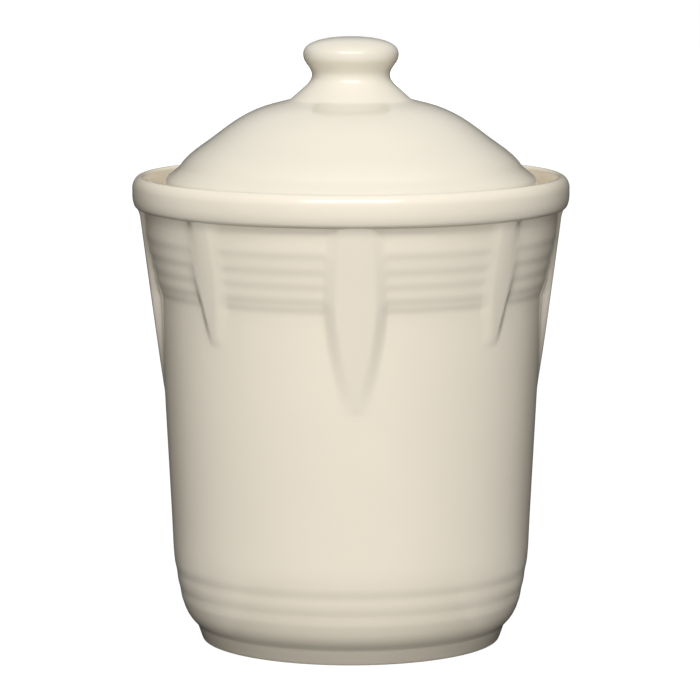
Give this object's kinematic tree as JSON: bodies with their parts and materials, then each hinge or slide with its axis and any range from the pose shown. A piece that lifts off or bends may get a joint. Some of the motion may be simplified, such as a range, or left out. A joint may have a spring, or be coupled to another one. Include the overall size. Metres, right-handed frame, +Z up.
{
  "type": "kitchen canister",
  "caption": "Round glazed stoneware storage jar with tapering ribs under a rolled rim, and a domed lid with a knob that seats inside the rim on a soft seal.",
  "frame": {"origin": "middle of the foot's underside, on the surface that the canister stands on", "axes": "+Z up along the jar's axis; one of the four long ribs faces -Y"},
  "size_m": [0.1834, 0.1834, 0.2552],
  "materials": {
    "jar_glaze": "glossy ivory glaze, foot ring bare",
    "lid_glaze": "glossy ivory glaze, seat bare",
    "silicone": "soft satin"
  },
  "bodies": {
    "jar": {"jar": "jar_glaze"},
    "seal_ring": {"seal_ring": "silicone"},
    "lid": {"lid": "lid_glaze"}
  },
  "joints": [
    {"name": "lid_lift", "type": "slide", "parent": "jar", "child": "seal_ring", "axis": [0, 0, 1], "range_m": [0, 0.06]},
    {"name": "lid_turn", "type": "hinge", "parent": "seal_ring", "child": "lid", "pos_m": [0, 0, 0.1877], "axis": [0, 0, 1], "continuous": true}
  ]
}
